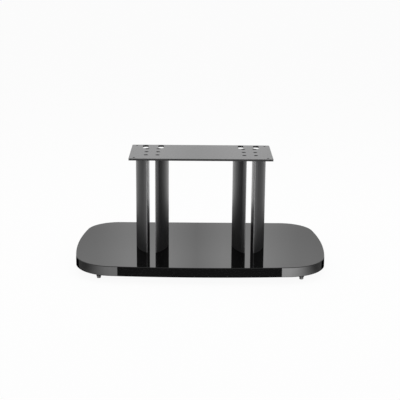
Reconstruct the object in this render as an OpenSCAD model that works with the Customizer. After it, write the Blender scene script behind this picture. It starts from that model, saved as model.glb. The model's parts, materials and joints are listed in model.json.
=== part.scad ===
// Low stand for a centre-channel loudspeaker.
// A bowed lacquered plinth, two pairs of half-oval extruded columns, a thin steel top plate and screw-in feet.
// Millimetres. +X to the viewer's right, +Y away from the viewer, +Z up. The origin is on the floor, under
// the middle of the plinth.

/* [Plinth] */
// Width of the plinth across its widest point
base_w = 652; // [560:1:760]
// Depth of the plinth on its centre line
base_d = 411; // [390:1:480]
// Thickness of the plinth board
base_t = 25.5; // [22:0.5:36]
// Radius of the bowed front edge
front_bow_r = 3000; // [1800:10:6000]
// Radius of the bowed sides
side_bow_r = 800; // [700:10:1500]
// How far the widest point lies in front of the middle
side_bow_forward = 8; // [0:1:25]
// Radius of the front corners
front_corner_r = 105; // [90:1:140]
// Radius of the rear corners
rear_corner_r = 88; // [60:1:120]
// Bevel along the upper and lower edges
base_bevel = 1.2; // [0.8:0.1:3]

/* [Columns] */
// Distance between the centre lines of the two pairs
pair_spacing = 253.6; // [220:0.2:262]
// Width of one pair across both halves
pair_w = 86; // [80:0.5:100]
// Gap between the two halves of a pair
pair_gap = 20.8; // [16:0.1:24]
// Length of the columns
column_h = 246; // [200:1:400]
// Distance from the centre line to the front tip of the oval
column_front = 84; // [78:0.5:86]
// Distance from the centre line to the cut rear end
column_rear = 55; // [52:0.5:58]
// Radius of the oval's nose
nose_r = 26; // [22:0.5:28]
// Wall thickness of the extrusion
column_wall = 3; // [2:0.1:3.5]
// Depth of the open cable channel at the rear of each column
channel_depth = 11; // [9:0.5:12]
// Width of the lips at the mouth of the cable channel
channel_lip = 2.4; // [1:0.1:3]

/* [Screw ports] */
// Distance of the screw ports from the centre line of their pair
port_offset = 15; // [14.5:0.1:16]
// Distance from one screw port to the next
port_pitch = 38; // [34:0.5:38]
// How far the middle port lies in front of the centre line
port_forward = 3; // [2:0.5:5]
// Wall round each screw port
port_wall = 2.4; // [2:0.1:2.8]

/* [Top plate] */
// Width of the top plate
plate_w = 368; // [360:1:420]
// Depth of the top plate
plate_d = 174; // [174:1:200]
// Thickness of the top plate
plate_t = 5; // [4:0.5:8]
// Corner radius of the top plate
plate_corner_r = 3; // [1:0.5:6]
// Softening of the top plate's upper edge
plate_edge = 0.5; // [0.3:0.1:0.8]
// Width of the cable slots
slot_w = 15; // [12:0.5:15]
// Length of the cable slots
slot_l = 40; // [30:0.5:40]
// Distance of the slots from the centre line of their pair
slot_offset = 20.5; // [20:0.5:22]
// Metal left between a slot and the rear edge of the plate
slot_margin = 5; // [4:0.5:6]
// Diameter of the four holes that bolt a loudspeaker down
corner_hole_d = 6.5; // [5:0.1:7]
// Distance of those holes from the two edges beside them
corner_hole_inset = 13; // [11:0.5:15]

/* [Screws] */
// Thread diameter of the screws and bolts that hold the columns
screw_d = 6; // [5:0.5:6.5]
// Head diameter of the countersunk plate screws
plate_head_d = 11.2; // [10:0.1:12]
// Length of the plate screws
plate_screw_l = 22; // [16:1:40]
// Head diameter of the bolts under the plinth
base_head_d = 10; // [9:0.1:11]
// Head height of the bolts under the plinth
base_head_h = 6; // [5:0.5:7]
// Length of the bolts under the plinth, under the head
base_bolt_l = 35; // [32:1:60]
// Diameter of the washers
washer_d = 12.4; // [12:0.1:14]
// Thickness of the washers
washer_t = 1.6; // [1:0.1:2]
// Depth of the counterbores under the plinth
counterbore_depth = 9; // [8.5:0.5:11]

/* [Feet] */
// Distance of the feet from the plinth's widest point
foot_side_inset = 69; // [63:1:90]
// Distance of the feet from the plinth's front and rear edges
foot_end_inset = 47.5; // [44.5:0.5:64]
// Height of the plinth's underside over the floor with the feet screwed in
foot_h = 17.5; // [17:0.5:24]
// Thread diameter of the foot studs
stud_d = 8; // [7:0.5:8.5]
// How far a foot can be screwed out
foot_travel = 7.5; // [5:0.5:8]
// Length of thread that is still inside the plinth then
stud_kept = 10.5; // [8:0.5:10.5]
// Diameter of the collar
collar_d = 12.6; // [12:0.1:14]
// Distance across the spanner flats of the collar
collar_flats = 11; // [10:0.1:11.5]
// Diameter of the glide
glide_d = 10.4; // [9.5:0.1:12]
// Height of the glide
glide_h = 5; // [4.5:0.1:6]
// Rounding of the glide's lower edge
glide_edge_r = 1.2; // [0.5:0.1:1.5]
// Lock nut, distance across flats
nut_flats = 13; // [12.5:0.1:14]
// Lock nut, height
nut_h = 5; // [4:0.1:6]
// Outer diameter of the threaded insert
insert_d = 12; // [11:0.1:12.5]
// Length of the threaded insert
insert_l = 15; // [12:0.5:15.5]
// Flange diameter of the threaded insert
insert_flange_d = 17; // [15:0.1:18]
// Flange thickness of the threaded insert
insert_flange_t = 1.5; // [1:0.1:2]

/* [Hidden] */
// Running clearance between a thread or shank and its hole, radial
run_gap = 0.05;
// Clearance of a seated piece in its recess, radial
seat_gap = 0.15;
// Clearance of a bolt in its plain hole, radial
bolt_gap = 0.3;
// Overrun of every cut
over = 1;
// Chamfer at the ends of threads and nuts
thread_chamfer = 0.6;
// Hex socket of the plate screws and of the bolts, across flats
plate_socket_flats = 4;
base_socket_flats = 5;
// Depth of a hex socket
socket_depth = 2.6;
// Pin of the stud that turns in the glide
glide_pin_d = 5;
glide_pin_l = 3.2;
// Floor of the glide under that pin
glide_pin_gap = 0.3;
// Lower edge of the collar
collar_chamfer = 0.8;
// Height of the part of the collar that has flats
flats_h = 5;
// Length of thread inside the plinth with the foot screwed in
stud_engaged = stud_kept + foot_travel;
// Distance of the feet from the middle
foot_x = base_w / 2 - foot_side_inset;
foot_y = base_d / 2 - foot_end_inset;

// Smoothness of round pieces, of the long bows and of the ovals
round_fn = 96;
small_fn = 48;
bow_fn = 1440;
oval_fn = 768;
nose_fn = 384;
hex_fn = 6;
full_turn = 360;

// Levels
base_z = foot_h;
column_z = base_z + base_t;
plate_z = column_z + column_h;
top_z = plate_z + plate_t;

// Screws and ports
screw_r = screw_d / 2;
shank_r = screw_r - run_gap;
port_r = screw_r;
port_outer_r = port_r + port_wall;
port_ys = [for (i = [-1:1]) i * port_pitch - port_forward];
plate_head_h = plate_head_d / 2 - screw_r;

// Centres of the front bow and of the right bow
front_centre = [0, front_bow_r - base_d / 2];
right_centre = [base_w / 2 - side_bow_r, -side_bow_forward];
// The corner arcs stand this much proud of the bows, so that their faces cross there and don't just touch
corner_step = 0.1;

// Where circles of radius ra about a and rb about b cross, on the side that turn chooses
function crossing(a, ra, b, rb, turn) =
    let (d = norm(b - a),
         along = (ra * ra - rb * rb + d * d) / (2 * d),
         across = sqrt(ra * ra - along * along),
         u = (b - a) / d)
    a + along * u + turn * across * [-u[1], u[0]];

// Centres of the corner arcs on the right: the front one touches both bows from inside, and the rear one
// touches the side bow and the straight rear edge
front_corner = crossing(front_centre, front_bow_r - front_corner_r,
                        right_centre, side_bow_r - front_corner_r, 1);
rear_corner_y = base_d / 2 - rear_corner_r;
rear_corner_reach = side_bow_r - rear_corner_r;
rear_corner = [right_centre[0] + sqrt(pow(rear_corner_reach, 2) - pow(rear_corner_y - right_centre[1], 2)),
               rear_corner_y];

function unit(v) = v / norm(v);
function heading(v) = atan2(v[1], v[0]);
function across(v) = [-v[0], v[1]];

// The side arc of a pair's oval, tangent to its nose
pair_half_w = pair_w / 2;
nose_y = nose_r - column_front;
side_r = (pair_half_w * pair_half_w + nose_y * nose_y - nose_r * nose_r) / (2 * (pair_half_w - nose_r));
side_x = pair_half_w - side_r;
nose_way = unit([0, nose_y] - [side_x, 0]);

// Both sides of the stand, of a pair, or both ends
sides = [-1, 1];

// Section of a board from the inner line to the outer one, with bevelled upper and lower edges at the outer
module rim_section(inner, outer) {
    polygon([[inner, 0], [outer - base_bevel, 0], [outer, base_bevel],
             [outer, base_t - base_bevel], [outer - base_bevel, base_t], [inner, base_t]]);
}

// A whole round board about centre
module round_board(centre, r) {
    translate([centre[0], centre[1], base_z])
        rotate_extrude($fn = bow_fn)
            rim_section(0, r);
}

// Everything in front of the straight rear edge
module rear_limit() {
    translate([-base_w, 0, base_z])
        rotate([full_turn / 4, 0, full_turn / 4])
            linear_extrude(2 * base_w)
                rim_section(-base_d, base_d / 2);
}

module both_sides() {
    children();
    mirror([1, 0, 0])
        children();
}

// What rounding takes off a sharp corner: a wedge between two directions, less the round board inside it
module corner_waste(centre, r, from, to) {
    far = 2 * r;
    difference() {
        translate([centre[0], centre[1], base_z - over])
            linear_extrude(base_t + 2 * over)
                polygon([[0, 0], for (way = [from, (from + to) / 2, to]) far * [cos(way), sin(way)]]);
        round_board(centre, r + corner_step);
    }
}

// The bowed board: what the front bow, the two side bows and the straight rear edge share, its corners rounded
// in arcs that run into them
module board() {
    front_way = heading(front_corner - front_centre);
    side_from = heading(front_corner - right_centre);
    side_to = heading(rear_corner - right_centre);
    difference() {
        intersection() {
            round_board(front_centre, front_bow_r);
            round_board(right_centre, side_bow_r);
            round_board(across(right_centre), side_bow_r);
            rear_limit();
        }
        both_sides() {
            corner_waste(front_corner, front_corner_r, front_way, side_from);
            corner_waste(rear_corner, rear_corner_r, side_to, full_turn / 4);
        }
    }
}

// Puts its children at the three ports of one column
module at_ports(side, half) {
    for (y = port_ys)
        translate([side * pair_spacing / 2 + half * port_offset, y, 0])
            children();
}

// Puts its children at one foot
module at_foot(side, end) {
    translate([side * foot_x, end * foot_y, 0])
        children();
}

module base_plinth() {
    color([0.02, 0.02, 0.022])
        difference() {
            board();
            for (side = sides, half = sides)
                at_ports(side, half) {
                    translate([0, 0, base_z - over])
                        cylinder(r = screw_r + bolt_gap, h = base_t + 2 * over, $fn = small_fn);
                    translate([0, 0, base_z - over])
                        cylinder(r = washer_d / 2 + bolt_gap, h = counterbore_depth + over, $fn = small_fn);
                }
            for (side = sides, end = sides)
                at_foot(side, end) {
                    translate([0, 0, base_z - over])
                        cylinder(r = insert_d / 2 + run_gap, h = stud_engaged + 2 * over, $fn = small_fn);
                    translate([0, 0, base_z - over])
                        cylinder(r = insert_flange_d / 2 + seat_gap, h = insert_flange_t + over, $fn = small_fn);
                }
        }
}

// Half of a pair's oval in plan, drawn inwards by inset, on the side of +X
module half_oval(inset) {
    // everything in front of the line where the nose arc takes over
    module nose_wedge() {
        translate([0, nose_y])
            polygon([[0, 0], 2 * side_r * nose_way, [0, -2 * side_r]]);
    }
    difference() {
        intersection() {
            translate([side_x, 0])
                circle(side_r - inset, $fn = oval_fn);
            translate([pair_gap / 2 + inset, -column_front])
                square([pair_half_w, column_front + column_rear]);
        }
        nose_wedge();
    }
    intersection() {
        translate([0, nose_y])
            circle(nose_r - inset, $fn = nose_fn);
        nose_wedge();
        translate([pair_gap / 2 + inset, -column_front])
            square([pair_half_w, column_front]);
    }
}

// The extruded section: outer skin, closed front chamber, three screw ports, open cable channel at the rear
module column_section() {
    channel_y = column_rear - channel_depth;
    mouth_x = pair_gap / 2 + column_wall;
    difference() {
        half_oval(0);
        difference() {
            half_oval(column_wall);
            // web between the chamber and the cable channel
            translate([0, channel_y - column_wall])
                square([pair_w, column_wall]);
            // ports grow from the inner wall
            for (y = port_ys)
                translate([port_offset, y])
                    circle(port_outer_r, $fn = round_fn);
            // lips at the mouth of the channel
            difference() {
                translate([0, column_rear - column_wall / 2])
                    square([pair_w, column_wall]);
                channel_mouth(mouth_x, channel_y);
            }
        }
        channel_mouth(mouth_x, channel_y);
        for (y = port_ys)
            translate([port_offset, y])
                circle(port_r, $fn = small_fn);
    }
}

// The open mouth of the cable channel, between its two lips
module channel_mouth(mouth_x, channel_y) {
    outer_x = side_x + sqrt(side_r * side_r - column_rear * column_rear) - column_wall;
    translate([mouth_x + channel_lip, column_rear - column_wall])
        square([outer_x - mouth_x - 2 * channel_lip, column_wall + over]);
}

module column(side, half) {
    color([0.16, 0.16, 0.165])
        translate([side * pair_spacing / 2, 0, column_z])
            mirror([half < 0 ? 1 : 0, 0, 0])
                linear_extrude(column_h)
                    column_section();
}

// A stadium in plan, long in Y
module stadium(w, l) {
    square([w, l - w], center = true);
    for (end = sides)
        translate([0, end * (l - w) / 2])
            circle(w / 2, $fn = round_fn);
}

// The plate's outline drawn inwards by inset
module plate_outline(inset) {
    r = plate_corner_r;
    square([plate_w - 2 * inset, plate_d - 2 * r], center = true);
    square([plate_w - 2 * r, plate_d - 2 * inset], center = true);
    for (sx = sides, sy = sides)
        translate([sx * (plate_w / 2 - r), sy * (plate_d / 2 - r)])
            circle(r - inset, $fn = small_fn);
}

module top_plate() {
    slot_y = plate_d / 2 - slot_margin - slot_l / 2;
    color([0.33, 0.33, 0.335])
        difference() {
            union() {
                translate([0, 0, plate_z])
                    linear_extrude(plate_t - plate_edge)
                        plate_outline(0);
                translate([0, 0, top_z - plate_edge])
                    linear_extrude(plate_edge)
                        plate_outline(plate_edge);
            }
            for (side = sides, half = sides) {
                at_ports(side, half) {
                    translate([0, 0, plate_z - over])
                        cylinder(r = screw_r + bolt_gap, h = plate_t + 2 * over, $fn = small_fn);
                    translate([0, 0, top_z - plate_head_h])
                        cylinder(r1 = screw_r + run_gap, r2 = screw_r + run_gap + plate_head_h + over,
                                 h = plate_head_h + over, $fn = small_fn);
                }
                translate([side * pair_spacing / 2 + half * slot_offset, slot_y, plate_z - over])
                    linear_extrude(plate_t + 2 * over)
                        stadium(slot_w, slot_l);
            }
            for (side = sides, end = sides)
                translate([side * (plate_w / 2 - corner_hole_inset), end * (plate_d / 2 - corner_hole_inset),
                           plate_z - over])
                    cylinder(d = corner_hole_d, h = plate_t + 2 * over, $fn = small_fn);
        }
}

// A countersunk socket screw, its head flush with z = 0
module countersunk_screw() {
    difference() {
        union() {
            translate([0, 0, -plate_head_h])
                cylinder(r1 = screw_r, r2 = plate_head_d / 2, h = plate_head_h, $fn = small_fn);
            translate([0, 0, -plate_screw_l + thread_chamfer])
                cylinder(r = shank_r, h = plate_screw_l - thread_chamfer - plate_head_h, $fn = small_fn);
            translate([0, 0, -plate_screw_l])
                cylinder(r1 = shank_r - thread_chamfer, r2 = shank_r, h = thread_chamfer, $fn = small_fn);
        }
        translate([0, 0, -socket_depth])
            hexagon(plate_socket_flats, socket_depth + over);
    }
}

// A hexagonal prism, flats apart by the given distance
module hexagon(flats, h) {
    cylinder(d = flats / cos(full_turn / hex_fn / 2), h = h, $fn = hex_fn);
}

// A socket cap bolt that points up, the underside of its head at z = 0
module cap_bolt() {
    difference() {
        union() {
            translate([0, 0, -base_head_h])
                cylinder(d = base_head_d, h = base_head_h, $fn = small_fn);
            cylinder(r = shank_r, h = base_bolt_l - thread_chamfer, $fn = small_fn);
            translate([0, 0, base_bolt_l - thread_chamfer])
                cylinder(r1 = shank_r, r2 = shank_r - thread_chamfer, h = thread_chamfer, $fn = small_fn);
        }
        translate([0, 0, -base_head_h - over])
            hexagon(base_socket_flats, socket_depth + over);
    }
}

module plate_screws(side, half) {
    color([0.1, 0.1, 0.1])
        at_ports(side, half)
            translate([0, 0, top_z])
                countersunk_screw();
}

module base_bolts(side, half) {
    color([0.25, 0.25, 0.26])
        at_ports(side, half)
            translate([0, 0, base_z + counterbore_depth - washer_t])
                cap_bolt();
}

module washers(side, half) {
    color([0.6, 0.6, 0.6])
        at_ports(side, half)
            translate([0, 0, base_z + counterbore_depth - washer_t])
                difference() {
                    cylinder(d = washer_d, h = washer_t, $fn = small_fn);
                    translate([0, 0, -over])
                        cylinder(r = screw_r + seat_gap, h = washer_t + 2 * over, $fn = small_fn);
                }
}

// A flanged threaded insert, flush with the underside of the plinth
module insert(side, end) {
    color([0.75, 0.7, 0.55])
        at_foot(side, end)
            translate([0, 0, base_z])
                difference() {
                    union() {
                        cylinder(d = insert_flange_d, h = insert_flange_t, $fn = small_fn);
                        cylinder(d = insert_d, h = insert_l, $fn = small_fn);
                    }
                    translate([0, 0, -over])
                        cylinder(r = stud_d / 2 + run_gap, h = insert_l + 2 * over, $fn = small_fn);
                }
}

// A hexagonal lock nut under the insert, its lower corners turned off
module lock_nut(side, end) {
    nut_corner_d = nut_flats / cos(full_turn / hex_fn / 2);
    color([0.7, 0.7, 0.72])
        at_foot(side, end)
            translate([0, 0, base_z - nut_h])
                difference() {
                    intersection() {
                        hexagon(nut_flats, nut_h);
                        union() {
                            cylinder(r1 = nut_corner_d / 2 - thread_chamfer, r2 = nut_corner_d / 2 + run_gap,
                                     h = thread_chamfer, $fn = small_fn);
                            translate([0, 0, thread_chamfer])
                                cylinder(r = nut_corner_d / 2 + run_gap, h = nut_h - thread_chamfer,
                                         $fn = small_fn);
                        }
                    }
                    translate([0, 0, -over])
                        cylinder(r = stud_d / 2 + run_gap, h = nut_h + 2 * over, $fn = small_fn);
                }
}

// A threaded stud with a collar below it and a pin that turns in the glide
module stud(side, end) {
    collar_top = base_z - nut_h;
    stud_r = stud_d / 2;
    color([0.72, 0.72, 0.74])
        at_foot(side, end) {
            translate([0, 0, collar_top])
                cylinder(r = stud_r, h = nut_h + stud_engaged - thread_chamfer, $fn = small_fn);
            translate([0, 0, base_z + stud_engaged - thread_chamfer])
                cylinder(r1 = stud_r, r2 = stud_r - thread_chamfer, h = thread_chamfer, $fn = small_fn);
            difference() {
                union() {
                    translate([0, 0, glide_h + collar_chamfer])
                        cylinder(d = collar_d, h = collar_top - glide_h - collar_chamfer, $fn = round_fn);
                    translate([0, 0, glide_h])
                        cylinder(d1 = collar_d - 2 * collar_chamfer, d2 = collar_d, h = collar_chamfer,
                                 $fn = round_fn);
                }
                for (way = sides)
                    translate([0, way * (collar_flats / 2 + collar_d / 2), collar_top - flats_h / 2])
                        cube([2 * collar_d, collar_d, flats_h + over], center = true);
            }
            translate([0, 0, glide_h - glide_pin_l])
                cylinder(d = glide_pin_d, h = glide_pin_l + over, $fn = small_fn);
        }
}

// The glide: a turned plug with a rounded lower edge and a blind socket for the stud's pin
module glide(side, end) {
    socket_l = glide_pin_l + glide_pin_gap;
    color([0.62, 0.62, 0.6])
        at_foot(side, end)
            difference() {
                rotate_extrude($fn = round_fn) {
                    square([glide_d / 2 - glide_edge_r, glide_h]);
                    translate([0, glide_edge_r])
                        square([glide_d / 2, glide_h - glide_edge_r]);
                    translate([glide_d / 2 - glide_edge_r, glide_edge_r])
                        circle(glide_edge_r, $fn = small_fn);
                }
                translate([0, 0, glide_h - socket_l])
                    cylinder(r = glide_pin_d / 2 + run_gap, h = socket_l + over, $fn = small_fn);
            }
}

base_plinth();
column(-1, -1);  // column_left_outer
column(-1, 1);  // column_left_inner
column(1, -1);  // column_right_inner
column(1, 1);  // column_right_outer
top_plate();
plate_screws(-1, -1);  // plate_screws_left_outer
plate_screws(-1, 1);  // plate_screws_left_inner
plate_screws(1, -1);  // plate_screws_right_inner
plate_screws(1, 1);  // plate_screws_right_outer
base_bolts(-1, -1);  // base_bolts_left_outer
base_bolts(-1, 1);  // base_bolts_left_inner
base_bolts(1, -1);  // base_bolts_right_inner
base_bolts(1, 1);  // base_bolts_right_outer
washers(-1, -1);  // washers_left_outer
washers(-1, 1);  // washers_left_inner
washers(1, -1);  // washers_right_inner
washers(1, 1);  // washers_right_outer
insert(-1, -1);  // insert_front_left
insert(1, -1);  // insert_front_right
insert(-1, 1);  // insert_rear_left
insert(1, 1);  // insert_rear_right
lock_nut(-1, -1);  // lock_nut_front_left
lock_nut(1, -1);  // lock_nut_front_right
lock_nut(-1, 1);  // lock_nut_rear_left
lock_nut(1, 1);  // lock_nut_rear_right
stud(-1, -1);  // stud_front_left
stud(1, -1);  // stud_front_right
stud(-1, 1);  // stud_rear_left
stud(1, 1);  // stud_rear_right
glide(-1, -1);  // glide_front_left
glide(1, -1);  // glide_front_right
glide(-1, 1);  // glide_rear_left
glide(1, 1);  // glide_rear_right
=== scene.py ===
import json
import math

import bmesh
import bpy
from mathutils import Matrix, Vector


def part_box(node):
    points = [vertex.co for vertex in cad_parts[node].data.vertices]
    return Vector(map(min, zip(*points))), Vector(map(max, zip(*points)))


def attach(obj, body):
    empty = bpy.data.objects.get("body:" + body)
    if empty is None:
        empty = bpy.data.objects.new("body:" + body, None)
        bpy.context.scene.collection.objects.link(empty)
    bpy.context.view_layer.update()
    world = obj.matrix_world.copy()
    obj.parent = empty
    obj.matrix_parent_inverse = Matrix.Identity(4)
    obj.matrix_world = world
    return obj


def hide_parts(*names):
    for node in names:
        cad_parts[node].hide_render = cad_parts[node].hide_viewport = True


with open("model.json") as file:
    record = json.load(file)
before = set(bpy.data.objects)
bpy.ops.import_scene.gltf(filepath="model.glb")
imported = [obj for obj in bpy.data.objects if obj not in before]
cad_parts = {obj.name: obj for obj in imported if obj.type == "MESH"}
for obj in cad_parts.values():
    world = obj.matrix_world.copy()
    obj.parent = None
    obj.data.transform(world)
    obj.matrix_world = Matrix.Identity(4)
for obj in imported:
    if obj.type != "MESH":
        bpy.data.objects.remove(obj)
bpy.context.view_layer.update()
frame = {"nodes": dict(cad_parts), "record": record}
print("frame loaded:", len(frame["nodes"]), "nodes")


class Wire:  # an output of a shader node that can stand in a sum
    def __init__(self, paint, socket):
        self.paint = paint
        self.socket = socket

    def sum(self, operation, first, second=0.0):
        return self.paint.sum(operation, first, second)

    def __add__(self, other):
        return self.sum("ADD", self, other)

    def __radd__(self, other):
        return self.sum("ADD", other, self)

    def __sub__(self, other):
        return self.sum("SUBTRACT", self, other)

    def __rsub__(self, other):
        return self.sum("SUBTRACT", other, self)

    def __mul__(self, other):
        return self.sum("MULTIPLY", self, other)

    def __rmul__(self, other):
        return self.sum("MULTIPLY", other, self)

    def __truediv__(self, other):
        return self.sum("DIVIDE", self, other)

    def __pow__(self, other):
        return self.sum("POWER", self, other)

    def __lt__(self, other):
        return self.sum("LESS_THAN", self, other)

    def __gt__(self, other):
        return self.sum("GREATER_THAN", self, other)

    def __abs__(self):
        return self.sum("ABSOLUTE", self)


class Paint:  # the node tree of a material or of the world
    def __init__(self, holder):
        holder.use_nodes = True
        self.tree = holder.node_tree
        self.tree.nodes.clear()

    def node(self, kind, settings=None, values=(), out=0):
        made = self.tree.nodes.new(kind)
        for key, value in (settings or {}).items():
            setattr(made, key, value)
        pairs = values.items() if isinstance(values, dict) else enumerate(values)
        for key, value in pairs:
            if isinstance(value, Wire):
                self.tree.links.new(value.socket, made.inputs[key])
            else:
                made.inputs[key].default_value = value
        return Wire(self, made.outputs[out])

    def sum(self, operation, first, second=0.0):
        return self.node("ShaderNodeMath", {"operation": operation}, [first, second])

    def place(self):  # where a point lies in the row frame, in metres
        return self.node("ShaderNodeTexCoord", out="Object")

    def stretched(self, scale):
        return self.node("ShaderNodeMapping", {}, {"Vector": self.place(), "Scale": scale})

    def axis(self, vector, name):
        return self.node("ShaderNodeSeparateXYZ", {}, [vector], out=name)

    def ray(self, name):  # 1 where the ray is of the named kind
        return self.node("ShaderNodeLightPath", out=name)

    def facing(self):  # Z of the face's own normal: 1 on top, 0 on an upright face, -1 below
        return self.axis(self.node("ShaderNodeNewGeometry", out="True Normal"), "Z")

    def noise(self, vector, scale=1.0, detail=2.0, roughness=0.5):
        values = {"Vector": vector, "Scale": scale, "Detail": detail, "Roughness": roughness}
        return self.node("ShaderNodeTexNoise", {}, values)

    def mapRange(self, value, source, target):
        values = {0: value, 1: source[0], 2: source[1], 3: target[0], 4: target[1]}
        return self.node("ShaderNodeMapRange", {"interpolation_type": "SMOOTHSTEP"}, values)

    def ramp(self, value, stops):  # stops are (place, grey)
        wire = self.node("ShaderNodeValToRGB", {}, [value])
        elements = wire.socket.node.color_ramp.elements
        while len(elements) < len(stops):
            elements.new(0.5)
        for element, (place, grey) in zip(elements, stops):
            element.position = place
            element.color = (grey, grey, grey, 1)
        return wire

    def blend(self, share, first, second):
        return self.node("ShaderNodeMix", {"data_type": "RGBA"}, {0: share, 6: first, 7: second}, out=2)

    def bump(self, height, depth):
        return self.node("ShaderNodeBump", {}, {"Height": height, "Distance": depth, "Strength": 1.0})

    def mixShader(self, share, first, second):
        return self.node("ShaderNodeMixShader", {}, [share, first, second])

    def principled(self, values):
        return self.node("ShaderNodeBsdfPrincipled", {}, values)

    def finish(self, shader, kind="ShaderNodeOutputMaterial"):
        output = self.tree.nodes.new(kind)
        self.tree.links.new(shader.socket, output.inputs["Surface"])


def newPaint(name):
    material = bpy.data.materials.new(name)
    return material, Paint(material)


def tint(tone, share=1.0):
    return (tone[0] * share, tone[1] * share, tone[2] * share, 1)


def mottled(paint, share, look):  # between the darker and the paler tone of a finish
    darker, paler = look["tones"]
    return paint.blend(share, tint(look["colour"], darker), tint(look["colour"], paler))


def swing(noise, spread):  # noise lies round 0.5
    return (noise - 0.5) * spread


# Finishes; "tones" are shares of the colour, sizes of noise are counts in a metre, depths are in metres

uprightLimit = 0.5  # a face whose normal has less Z than this is upright

lacquerLook = {"colour": (0.0022, 0.0022, 0.0024), "tones": (0.9, 1.15), "ior": 1.5, "edgeIor": 2.2,
               "roughness": 0.02, "underRoughness": 0.55, "smearSize": 7.0, "smearShare": 0.015,
               "peelSize": 90.0, "peelDepth": 0.000004}


def lacquer():  # polished black lacquer, brighter in reflection on the upright edge, only sealed below
    material, paint = newPaint("blackLacquer")
    look = lacquerLook
    facing = paint.facing()
    under = facing < -uprightLimit
    upright = abs(facing) < uprightLimit
    smear = paint.noise(paint.place(), look["smearSize"], detail=3.0)
    peel = paint.noise(paint.place(), look["peelSize"], detail=1.0)
    rough = look["roughness"] + smear * look["smearShare"] + under * look["underRoughness"]
    coat = {"Base Color": mottled(paint, smear, look), "Roughness": rough,
            "Normal": paint.bump(peel, look["peelDepth"])}
    flat = paint.principled({**coat, "IOR": look["ior"]})
    edge = paint.principled({**coat, "IOR": look["edgeIor"]})
    paint.finish(paint.mixShader(upright, flat, edge))
    return material


# A painted highlight is a light line of base colour along the nose edge: its reach is counted from the middle of
# the pair of columns
anodisedLook = {"colour": (0.026, 0.026, 0.027), "tones": (0.85, 1.15), "metallic": 0.1, "ior": 1.65,
                "roughness": 0.36, "lineScale": (1600.0, 1600.0, 5.0), "lineSpread": 0.1, "lineDepth": 0.000006,
                "cloudSize": 14.0, "cloudSpread": 0.04,
                "pairCentre": 0.1268, "paintedHighlightTone": (0.19, 0.19, 0.192), "paintedHighlightReach": (0.0118, 0.0136),
                "paintedHighlightFront": -0.072}


def anodised():  # satin black anodised extrusion with faint die lines along its length and a painted highlight along the nose edge
    material, paint = newPaint("darkAnodised")
    look = anodisedLook
    lines = paint.noise(paint.stretched(look["lineScale"]), detail=3.0, roughness=0.6)
    cloud = paint.noise(paint.place(), look["cloudSize"])
    rough = look["roughness"] + swing(lines, look["lineSpread"]) + swing(cloud, look["cloudSpread"])
    aside = abs(abs(paint.axis(paint.place(), "X")) - look["pairCentre"])
    atFront = paint.axis(paint.place(), "Y") < look["paintedHighlightFront"]
    # painted highlight: a paler base colour in a thin line along the front arris of each column
    paintedHighlight = paint.mapRange(aside, look["paintedHighlightReach"], (1.0, 0.0)) * atFront
    tone = paint.blend(paintedHighlight, mottled(paint, lines, look), tint(look["paintedHighlightTone"]))
    paint.finish(paint.principled({"Base Color": tone, "Metallic": look["metallic"], "Roughness": rough,
                                   "IOR": look["ior"], "Normal": paint.bump(lines, look["lineDepth"])}))
    return material


powderLook = {"colour": (0.112, 0.112, 0.114), "tones": (0.86, 1.14), "uprightShadeShare": 0.45, "ior": 1.5,
              "roughness": 0.2, "grainSize": 1500.0, "grainSpread": 0.1, "grainDepth": 0.00002,
              "cloudSize": 11.0, "cloudSpread": 0.05}


def powderCoat():  # fine powder coat on steel, with painted shade that darkens the upright faces: the cut edges and the walls of the slots
    material, paint = newPaint("greyPowderCoat")
    look = powderLook
    grain = paint.noise(paint.place(), look["grainSize"], roughness=0.6)
    cloud = paint.noise(paint.place(), look["cloudSize"], detail=3.0)
    tone = mottled(paint, grain * 0.5 + cloud * 0.5, look)
    # painted shade: upright faces get a darker share of the colour
    tone = paint.blend(abs(paint.facing()) < uprightLimit, tone, tint(look["colour"], look["uprightShadeShare"]))
    rough = look["roughness"] + swing(grain, look["grainSpread"]) + swing(cloud, look["cloudSpread"])
    paint.finish(paint.principled({"Base Color": tone, "Roughness": rough, "IOR": look["ior"],
                                   "Normal": paint.bump(grain, look["grainDepth"])}))
    return material


turnedLook = {"tones": (0.82, 1.1), "stainSize": 220.0, "roughness": 0.3,
              "ringScale": (60.0, 60.0, 2600.0), "ringSpread": 0.16, "ringDepth": 0.000004}
steelLook = {**turnedLook, "colour": (0.58, 0.58, 0.59)}
brassLook = {**turnedLook, "colour": (0.62, 0.48, 0.26)}


def turnedMetal(name, look):  # turned metal with fine rings round the axis
    material, paint = newPaint(name)
    rings = paint.noise(paint.stretched(look["ringScale"]), roughness=0.6)
    stain = paint.noise(paint.place(), look["stainSize"], detail=3.0)
    rough = look["roughness"] + swing(rings, look["ringSpread"])
    paint.finish(paint.principled({"Base Color": mottled(paint, stain, look), "Metallic": 1.0,
                                   "Roughness": rough, "Normal": paint.bump(rings, look["ringDepth"])}))
    return material


oxideLook = {"colour": (0.015, 0.015, 0.016), "tones": (0.7, 1.4), "roughness": 0.75, "specular": 0.2,
             "grainSize": 900.0, "grainDetail": 3.0, "grainSpread": 0.2, "grainDepth": 0.000008}
glideLook = {"colour": (0.5, 0.5, 0.49), "tones": (0.92, 1.06), "roughness": 0.45, "specular": 0.5,
             "grainSize": 900.0, "grainDetail": 2.0, "grainSpread": 0.1, "grainDepth": 0.00001}


def grained(name, look):  # blackened steel of the screws and moulded nylon of the glides
    material, paint = newPaint(name)
    grain = paint.noise(paint.place(), look["grainSize"], look["grainDetail"])
    rough = look["roughness"] + swing(grain, look["grainSpread"])
    paint.finish(paint.principled({"Base Color": mottled(paint, grain, look), "Roughness": rough,
                                   "Specular IOR Level": look["specular"],
                                   "Normal": paint.bump(grain, look["grainDepth"])}))
    return material


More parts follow.
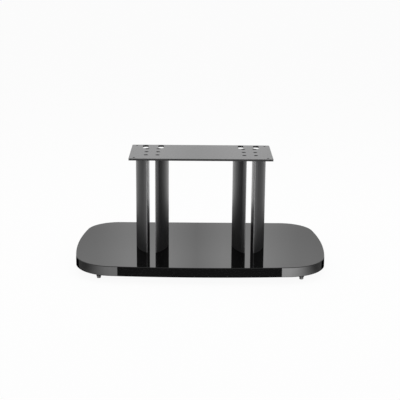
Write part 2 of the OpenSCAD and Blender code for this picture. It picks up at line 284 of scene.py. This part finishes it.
finishes = {"gloss_black": lacquer(), "dark_anodised": anodised(), "grey_plate": powderCoat(),
            "black_steel": grained("blackenedSteel", oxideLook),
            "bright_steel": turnedMetal("zincPlatedSteel", steelLook),
            "brass_insert": turnedMetal("turnedBrass", brassLook),
            "grey_glide": grained("greyNylon", glideLook)}

slotOf = {part["node"]: part["material_slot"] for part in frame["record"]["subparts"]}
for name, piece in frame["nodes"].items():
    piece.data.materials.clear()
    piece.data.materials.append(finishes[slotOf[name]])
print("finishes:", len(finishes))


# Foot studs with their thread cut in. Heights are above the floor, "flats" is the width across the two flats of
# the collar, and the profile of the thread is (share of the pitch, share of the depth)

studShape = {"sides": 48, "crest": 0.004, "pitch": 0.00125, "depth": 0.00068,
             "profile": ((0.0, 0.0), (0.12, 0.0), (0.45, 1.0), (0.67, 1.0)), "tip": 0.0006,
             "pin": 0.0025, "collar": 0.0063, "collarFrom": 0.005, "collarTo": 0.0125, "collarChamfer": 0.0008,
             "flats": 0.011, "flatsHeight": 0.005, "smoothAngle": 30.0, "mergeReach": 0.000001}


def studColumn(turn, low, high):  # (height, radius) from the pin's end up to the tip, at one turn round the axis
    shape = studShape
    foot, start, collar = shape["collarFrom"], shape["collarTo"], shape["collar"]
    sine, halfFlats = abs(math.sin(turn * math.tau)), shape["flats"] / 2
    flat = halfFlats / sine if collar * sine > halfFlats else collar
    root = shape["crest"] - shape["depth"]
    column = [(low, 0.0), (low, shape["pin"]), (foot, shape["pin"]),
              (foot, collar - shape["collarChamfer"]), (foot + shape["collarChamfer"], collar),
              (start - shape["flatsHeight"], collar), (start - shape["flatsHeight"], flat),
              (start, flat), (start, root)]
    for wind in range(math.ceil((high - start) / shape["pitch"]) + 1):
        for share, sunk in shape["profile"]:
            height = start + shape["pitch"] * (wind + share + turn - 1)
            cut = min(shape["crest"] - shape["depth"] * sunk, shape["crest"] - shape["tip"] + high - height)
            inThread = start < height < high
            column.append((height, cut) if inThread else (min(max(height, start), high), root))
    return column + [(high, root), (high, 0.0)]


def threadedStud(node):
    low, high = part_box(node)
    centreX, centreY = (low[0] + high[0]) / 2, (low[1] + high[1]) / 2
    mesh = bpy.data.meshes.new(node + "_threaded")
    form = bmesh.new()
    columns = []
    for side in range(studShape["sides"] + 1):
        turn = side / studShape["sides"]
        across, along = math.cos(turn * math.tau), math.sin(turn * math.tau)
        columns.append([form.verts.new((centreX + across * radius, centreY + along * radius, height))
                        for height, radius in studColumn(turn, low[2], high[2])])
    for here, there in zip(columns, columns[1:]):
        for step in range(len(here) - 1):
            form.faces.new((here[step], there[step], there[step + 1], here[step + 1]))
    bmesh.ops.remove_doubles(form, verts=form.verts, dist=studShape["mergeReach"])
    bmesh.ops.dissolve_degenerate(form, edges=form.edges, dist=studShape["mergeReach"])
    bmesh.ops.recalc_face_normals(form, faces=form.faces)
    form.to_mesh(mesh)
    form.free()
    mesh.shade_smooth()
    mesh.set_sharp_from_angle(angle=math.radians(studShape["smoothAngle"]))
    mesh.materials.append(finishes[slotOf[node]])
    piece = bpy.data.objects.new(node + "_threaded", mesh)
    bpy.context.scene.collection.objects.link(piece)
    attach(piece, "foot_" + node)
    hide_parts(node)


studs = [name for name in frame["nodes"] if name.startswith("stud_")]
for name in studs:
    threadedStud(name)
print("studs threaded:", len(studs))


# Camera at the photograph's place; angles are in degrees, the frame is as wide as it is high

shot = {"focalPixels": 1042.0, "framePixels": 400.0, "pitch": 14.79, "roll": 0.4384, "yaw": 0.1883,
        "place": (-0.01016, -2.665, 0.8674), "sensor": 36.0}


def makeCamera():
    pitch, roll, yaw = (math.radians(shot[key]) for key in ("pitch", "roll", "yaw"))
    ahead = Vector((math.sin(yaw) * math.cos(pitch), math.cos(yaw) * math.cos(pitch), -math.sin(pitch)))
    level = Vector((math.cos(yaw), -math.sin(yaw), 0))
    upright = level.cross(ahead)
    right = math.cos(roll) * level + math.sin(roll) * upright
    up = math.cos(roll) * upright - math.sin(roll) * level
    lens = bpy.data.cameras.new("camera")
    lens.sensor_width = shot["sensor"]
    lens.lens = shot["sensor"] * shot["focalPixels"] / shot["framePixels"]
    camera = bpy.data.objects.new("camera", lens)
    bpy.context.scene.collection.objects.link(camera)
    turn = Matrix((right, up, -ahead)).transposed().to_4x4()
    camera.matrix_world = Matrix.Translation(shot["place"]) @ turn
    bpy.context.scene.camera = camera


makeCamera()
bpy.context.scene.view_settings.view_transform = "Standard"
print("camera placed")


# Studio: white background, pale floor and soft lamps. Polished surfaces don't mirror these. They see tones of
# their own: grey bands behind the stand, a dark card in front of it and brighter ground at its front corners

studio = {"world": 0.5, "floorHalf": 30.0, "floorTone": 0.9, "floorGlow": 0.94}

# Bands are (slope aside, tone). They grow brighter with height, begin where a ray goes back, and are fainter when
# they are seen in a reflection of a reflection
behind = {"tones": ((0.0, 0.64), (0.027, 0.82), (0.068, 0.83), (0.1, 0.65), (0.126, 0.6), (0.2, 0.56),
                    (0.5, 0.5)),
          "height": (0.277, 0.317), "heightShares": (0.96, 1.24), "start": (0.1, 0.4), "leastAhead": 0.001,
          "roomTone": 0.6, "againShare": 0.1, "againDepth": 1.5}

# Ground tones are for the front, the side and the back. The angles, from straight ahead, are where the front ends,
# where the side starts and ends, and where the back starts; "reach" is where near ground turns into far ground
ground = {"left": (0.97, 0.14, 0.2), "right": (1.8, 0.17, 0.23), "far": (1.9, 0.36, 1.2),
          "nearAngles": (38.0, 70.0, 130.0, 165.0), "farAngles": (52.0, 115.0, 120.0, 165.0),
          "reach": (0.5, 0.65), "shadeReach": 0.02, "shadeTone": 0.009}

card = {"half": 0.2073, "centre": -0.0013, "spread": 0.2145, "end": -2.2,
        "tones": (0.15, 0.04), "fade": (-0.6, -0.42)}

# Painted shade on the ground beyond each end of the plinth, black in reflections
endShadePatch = {"from": 0.3, "slope": 0.86, "offset": 0.4086, "edge": 0.006,
            "back": (-0.02, 0.05), "reach": (0.4, 0.44)}

# Outline of the plinth in plan: half its depth, and centre and radius of the bows and of the corners on the right
outline = {"halfDepth": 0.2055, "front": ((0.0, 2.7945), 3.0), "side": ((-0.474, -0.008), 0.8),
           "frontCorner": ((0.2159, -0.0924), 0.105), "rearCorner": ((0.2269, 0.1175), 0.088)}


def makeWorld():
    world = bpy.data.worlds.new("studio")
    bpy.context.scene.world = world
    paint = Paint(world)
    seen, through = paint.ray("Is Camera Ray"), paint.ray("Is Transmission Ray")
    glossy, depth = paint.ray("Is Glossy Ray"), paint.ray("Glossy Depth")
    way = paint.node("ShaderNodeTexCoord", out="Generated")
    ahead = paint.axis(way, "Y")
    aside = abs(paint.axis(way, "X") / (abs(ahead) + behind["leastAhead"]))
    climb = paint.mapRange(paint.axis(way, "Z"), behind["height"], behind["heightShares"])
    back = paint.mapRange(ahead, behind["start"], (0.0, 1.0))
    room = paint.ramp(aside, behind["tones"]) * climb * back + behind["roomTone"] * (1 - back)
    again = depth > behind["againDepth"]
    mirrored = glossy * room * (1 - again * (1 - behind["againShare"]))
    lit = (1 - seen) * (1 - through) * (1 - glossy)
    strength = (seen + through * (1 - seen)) + mirrored + lit * studio["world"]
    paint.finish(paint.node("ShaderNodeBackground", {}, [(1, 1, 1, 1), strength]), "ShaderNodeOutputWorld")


def groundGlow(paint, x, y):  # what polished surfaces see of the ground, by the direction from the stand
    angle = paint.sum("ARCTAN2", abs(x), 0 - y)

    def glow(side, angles):
        front, beside, back = ground[side]
        frontEnd, sideStart, sideEnd, backStart = (math.radians(turn) for turn in ground[angles])
        frontShare = paint.mapRange(angle, (sideStart, frontEnd), (0.0, 1.0))
        backShare = paint.mapRange(angle, (sideEnd, backStart), (0.0, 1.0))
        return beside + frontShare * (front - beside) + backShare * (back - beside)

    right = x > 0
    far = paint.mapRange((x * x + y * y) ** 0.5, ground["reach"], (0.0, 1.0))
    near = glow("left", "nearAngles") * (1 - right) + glow("right", "nearAngles") * right
    return near * (1 - far) + glow("far", "farAngles") * far


def beyondOutline(paint, x, y):  # how far a point of the ground lies outside the plinth's outline
    aside = abs(x)

    def fromArc(key):
        (centreX, centreY), radius = outline[key]
        return ((aside - centreX) ** 2 + (y - centreY) ** 2) ** 0.5 - radius

    reach = paint.sum("MAXIMUM", fromArc("front"), fromArc("side"))
    reach = paint.sum("MAXIMUM", reach, y - outline["halfDepth"])
    for key, forward in (("frontCorner", -1), ("rearCorner", 1)):
        (centreX, centreY), radius = outline[key]
        inCorner = (aside > centreX) * ((y - centreY) * forward > 0)
        reach = reach * (1 - inCorner) + paint.sum("MAXIMUM", reach, fromArc(key)) * inCorner
    return reach


def onCard(x, y):  # the dark card on the ground, wider away from the plinth
    start = -outline["halfDepth"]
    half = (start - y) * card["spread"] + card["half"]
    return (abs(x - card["centre"]) < half) * (y < start) * (y > card["end"])


def inEndShadePatch(paint, x, y):  # painted shade on the ground beyond each end of the plinth, which shows as a black band at each end in reflections
    beyondLine = y - abs(x) * endShadePatch["slope"] + endShadePatch["offset"]
    inside = paint.mapRange(beyondLine, (0.0, endShadePatch["edge"]), (0.0, 1.0))
    near = paint.mapRange(abs(x), endShadePatch["reach"], (1.0, 0.0))
    front = paint.mapRange(y, endShadePatch["back"], (1.0, 0.0))
    return (abs(x) > endShadePatch["from"]) * inside * near * front


def makeFloor():
    half = studio["floorHalf"]
    mesh = bpy.data.meshes.new("floor")
    mesh.from_pydata([(-half, -half, 0), (half, -half, 0), (half, half, 0), (-half, half, 0)], [], [(0, 1, 2, 3)])
    floor = bpy.data.objects.new("floor", mesh)
    bpy.context.scene.collection.objects.link(floor)
    material, paint = newPaint("paleFloor")
    mesh.materials.append(material)
    x = paint.axis(paint.place(), "X")
    y = paint.axis(paint.place(), "Y")
    shade = beyondOutline(paint, x, y) < ground["shadeReach"]  # painted shadow just round the foot of the plinth, seen only in reflections
    dark = onCard(x, y) * (1 - shade)
    darkTone = paint.mapRange(y, card["fade"], card["tones"])
    strength = groundGlow(paint, x, y) * (1 - dark) * (1 - shade) + dark * darkTone + shade * ground["shadeTone"]
    # painted shade: the ground beyond each end of the plinth turns black in reflections
    strength = strength * (1 - inEndShadePatch(paint, x, y))
    white = (1, 1, 1, 1)
    matte = paint.node("ShaderNodeBsdfDiffuse", {}, [tint(white, studio["floorTone"])])
    glow = paint.node("ShaderNodeEmission", {}, [white, 1.0])
    mirrored = paint.node("ShaderNodeEmission", {}, [white, strength])
    plain = paint.mixShader(paint.ray("Is Camera Ray") * studio["floorGlow"], matte, glow)
    paint.finish(paint.mixShader(paint.ray("Is Glossy Ray"), plain, mirrored))


lamps = {"overheadSoftbox": {"place": (0.0, 0.25, 2.1), "size": (2.2, 1.4), "power": 18.0},
         "leftSoftbox": {"place": (-2.0, -0.9, 1.0), "size": (0.8, 1.6), "power": 6.0},
         "rightSoftbox": {"place": (2.0, -0.9, 1.0), "size": (0.8, 1.6), "power": 6.9}}
lampAim = (0.0, 0.0, 0.15)


def makeLamp(name, place, size, power):
    lamp = bpy.data.lights.new(name, "AREA")
    lamp.shape = "RECTANGLE"
    lamp.size, lamp.size_y = size
    lamp.energy = power
    holder = bpy.data.objects.new(name, lamp)
    bpy.context.scene.collection.objects.link(holder)
    holder.location = place
    holder.visible_glossy = False  # reflections show the ground and the room, not the lamps
    aim = Vector(lampAim) - Vector(place)
    holder.rotation_euler = aim.to_track_quat("-Z", "Y").to_euler()


makeWorld()
makeFloor()
for name, lamp in lamps.items():
    makeLamp(name, **lamp)
print("studio lit")
